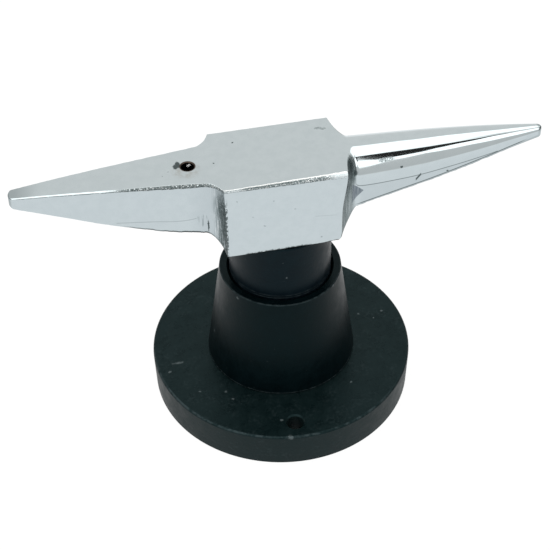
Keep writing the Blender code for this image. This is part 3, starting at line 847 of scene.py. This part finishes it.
    # painted glint: a bright spot inside the hole, with the metal turned off under it
    glint = graph.spots(ragged, HOLE_GLINT)
    colour = graph.blend(glint, colour, HIGHLIGHT_CHROME)
    graph.put(shader.inputs["Metallic"], graph.math("SUBTRACT", 1.0, glint))
    graph.put(shader.inputs["Base Color"], colour)

    dull = graph.either(worn_block, worn_horn, edge_glints, grime, seams, pits, bore, smudges)
    rough = graph.span(mottle, 0.3, 0.7, 0.035, 0.06)
    graph.put(shader.inputs["Roughness"], graph.math("ADD", rough, graph.math("MULTIPLY", dull, 0.3)))

    waves = graph.noise(graph.stretch(place, (0.22, 1, 1)), 0.18, 2.0)
    fine = graph.noise(graph.stretch(place, (0.3, 1, 1)), 1.3, 3.0, 0.6)
    normal = graph.bump(waves, 0.12 * MM, 1.0)
    normal = graph.bump(fine, 0.0006 * MM, 1.0, normal)
    pitting = graph.noise(place, 3.2, 3.0, 0.7)
    rough_edges = graph.either(graph.both(edge, front, graph.within(x, -44.0, 15.5, 2.0)), grime)
    graph.put(shader.inputs["Normal"],
              graph.bump(graph.both(pitting, rough_edges), 0.14 * MM, 1.0, normal))
    return material


# Marks on the stand, in the same way
FOOT_MARKS = (((-6.4, -30.8, 11.4), (0.5, 0.5, 0.5)), ((-5.4, -37.4, 11.1), (1.1, 0.8, 0.7)),
              ((-31.6, -2.3, 11.4), (2.2, 0.5, 0.4)), ((-34.5, -5.4, 11.4), (0.7, 0.5, 0.4)),
              ((-27.2, -14.9, 11.4), (0.5, 0.4, 0.4)), ((-19.9, -16.6, 11.4), (0.5, 0.4, 0.4)),
              ((-18.45, -19.8, 11.4), (0.45, 0.4, 0.4)), ((32.6, 5.7, 11.4), (0.5, 0.4, 0.4)),
              ((25.35, 5.8, 11.4), (0.5, 0.4, 0.4)), ((29.4, 3.3, 11.4), (0.4, 0.35, 0.4)),
              ((16.35, -20.8, 11.4), (0.5, 0.4, 0.4)))
PEDESTAL_MARKS = (((-14.3, -10.0, 41.9), (0.5, 0.6, 0.5)), ((-20.1, -1.7, 22.1), (0.4, 0.6, 0.5)),
                  ((12.6, -11.9, 42.8), (0.5, 0.6, 0.4)))
POST_MARKS = (((-1.15, -14.35, 51.1), (0.34, 0.6, 0.3)), ((-2.2, -14.2, 56.6), (0.25, 0.5, 0.2)))
ENAMEL_TINT = rgb(0.52, 0.93, 1.0)
WORN_AND_HIGHLIGHT_ENAMEL = rgb(0.045, 0.06, 0.065)
SCUFFED_ENAMEL = rgb(0.10, 0.12, 0.125)


def enamel(name, dark, light, gloss, roughness, wear, marks):
    """Brushed-on black enamel: faint turning rings below it, dust, grey where it has rubbed, and painted
    highlight lines.
    """
    material, graph, shader, place = new_material(name)
    shader.inputs["Specular IOR Level"].default_value = gloss
    shader.inputs["Specular Tint"].default_value = ENAMEL_TINT
    mottle = graph.noise(place, 0.3, 5.0, 0.65)
    colour = graph.blend(graph.span(mottle, 0.3, 0.7), dark, light)
    wear_and_highlight = wear(graph, place)
    colour = graph.blend(wear_and_highlight, colour, WORN_AND_HIGHLIGHT_ENAMEL)
    dust = graph.both(graph.speckle(place, 1.7, 0.05, 0.02), 0.2)
    scuffs = graph.both(graph.spots(graph.shaken(place, 1.6, 0.9), marks),
                        graph.speckle(place, 1.6, 0.7, 0.1), 0.6)
    colour = graph.blend(graph.either(dust, scuffs), colour, SCUFFED_ENAMEL)
    graph.put(shader.inputs["Base Color"], colour)
    rough = graph.span(mottle, 0.3, 0.7, roughness - 0.05, roughness + 0.06)
    normal_z = graph.split(graph.node("ShaderNodeTexCoord").outputs["Normal"])[2]
    upright = graph.span(graph.math("ABSOLUTE", normal_z), 0.25, 0.5, 0.16, 0.0)
    graph.put(shader.inputs["Roughness"], graph.math("ADD", rough, upright))
    peel = graph.noise(place, 1.1, 4.0, 0.6)
    radius = from_post_axis(graph, place)
    height = graph.split(place)[2]
    rings = graph.node("ShaderNodeCombineXYZ", None, {"X": radius, "Y": height}).outputs[0]
    turning = graph.noise(rings, 2.2, 2.0)
    normal = graph.bump(peel, 0.035 * MM, 1.0)
    graph.put(shader.inputs["Normal"], graph.bump(turning, 0.012 * MM, 1.0, normal))
    return material


def from_post_axis(graph, place):
    return graph.vector("LENGTH", graph.stretch(place, (1, 1, 0)))


def foot_wear(graph, place):
    """The rim of the disc, most on its front left."""
    x, y, z = graph.split(place)
    radius = from_post_axis(graph, place)
    rim = graph.within(radius, 37.55, 37.95, 0.15)
    facing = graph.span(graph.math("ADD", y, graph.math("MULTIPLY", x, 0.5)), -5.0, -30.0)
    rim = graph.both(rim, graph.span(z, 10.6, 10.9), facing, graph.speckle(place, 0.5, 0.5, 0.12), 0.5)
    cloudy = graph.both(graph.speckle(place, 0.16, 0.45, 0.08), graph.speckle(place, 1.2, 0.35, 0.08), 0.12)
    return graph.either(rim, cloudy)


def pedestal_wear_and_highlight(graph, place):
    """Worn paint with a painted highlight round the foot of the cone, strongest at the front, and the broken
    edge of its rim.
    """
    _, y, z = graph.split(place)
    low, top = PEDESTAL_LOW.z / MM, PEDESTAL_HIGH.z / MM
    patchy = graph.span(graph.noise(place, 0.6, 3.0), 0.35, 0.6, 0.25, 1.0)
    # painted highlight on worn paint: a lighter line round the cone's foot, strongest at the front
    cone_foot_highlight = graph.both(graph.span(z, low + 0.15, low + 0.4, 1.0, 0.0), graph.span(y, -6.0, 4.0, 1.0, 0.15))
    rim = graph.both(graph.span(z, top - 0.35, top - 0.1),
                     graph.span(from_post_axis(graph, place), 16.9, 17.1))
    return graph.both(graph.either(cone_foot_highlight, graph.both(rim, 0.35)), patchy)


def post_wear(graph, place):
    """Two rings rubbed bright where the post meets its socket."""
    z = graph.split(place)[2]
    top = PEDESTAL_HIGH.z / MM
    rings = graph.either(graph.within(z, top + 0.1, top + 0.25, 0.12),
                         graph.within(z, top + 0.9, top + 1.0, 0.12))
    return graph.both(rings, graph.span(graph.noise(place, 0.5, 3.0), 0.35, 0.65, 0.15, 0.6))


def steel(name, dark, light, roughness):
    material, graph, shader, place = new_material(name)
    shader.inputs["Metallic"].default_value = 1.0
    wear = graph.noise(place, 0.9, 4.0, 0.6)
    graph.put(shader.inputs["Base Color"], graph.blend(graph.span(wear, 0.3, 0.7), dark, light))
    graph.put(shader.inputs["Roughness"], graph.span(wear, 0.2, 0.8, roughness - 0.08, roughness + 0.08))
    graph.put(shader.inputs["Normal"], graph.bump(wear, 0.03 * MM, 0.5))
    return material


def dress_node(node, material):
    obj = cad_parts[node]
    obj.data.materials.clear()
    obj.data.materials.append(material)


make_camera()
make_studio()
make_floor()
make_head(chrome())
# painted shade and light: one black enamel, given its darkest tone on the pedestal and its lightest on the
# foot
make_post(enamel("post_enamel", rgb(0.0015, 0.0035, 0.006), rgb(0.0025, 0.006, 0.009), 0.10, 0.22,
                 post_wear, POST_MARKS))
make_pedestal(enamel("pedestal_enamel", rgb(0.0003, 0.0020, 0.0026), rgb(0.0009, 0.0036, 0.0046), 0.105, 0.2,
                     pedestal_wear_and_highlight, PEDESTAL_MARKS))
make_foot(enamel("foot_enamel", rgb(0.0022, 0.006, 0.0065), rgb(0.0040, 0.0092, 0.0098), 0.13, 0.30,
                 foot_wear, FOOT_MARKS))
dress_node("clamp_bolt", steel("screw_black_oxide", rgb(0.02, 0.02, 0.022), rgb(0.06, 0.06, 0.065), 0.42))
dress_node("spring_washer", steel("washer_spring_steel", rgb(0.12, 0.12, 0.13), rgb(0.3, 0.3, 0.31), 0.38))
dress_node("flat_washer", steel("washer_zinc", rgb(0.5, 0.51, 0.53), rgb(0.72, 0.73, 0.75), 0.3))
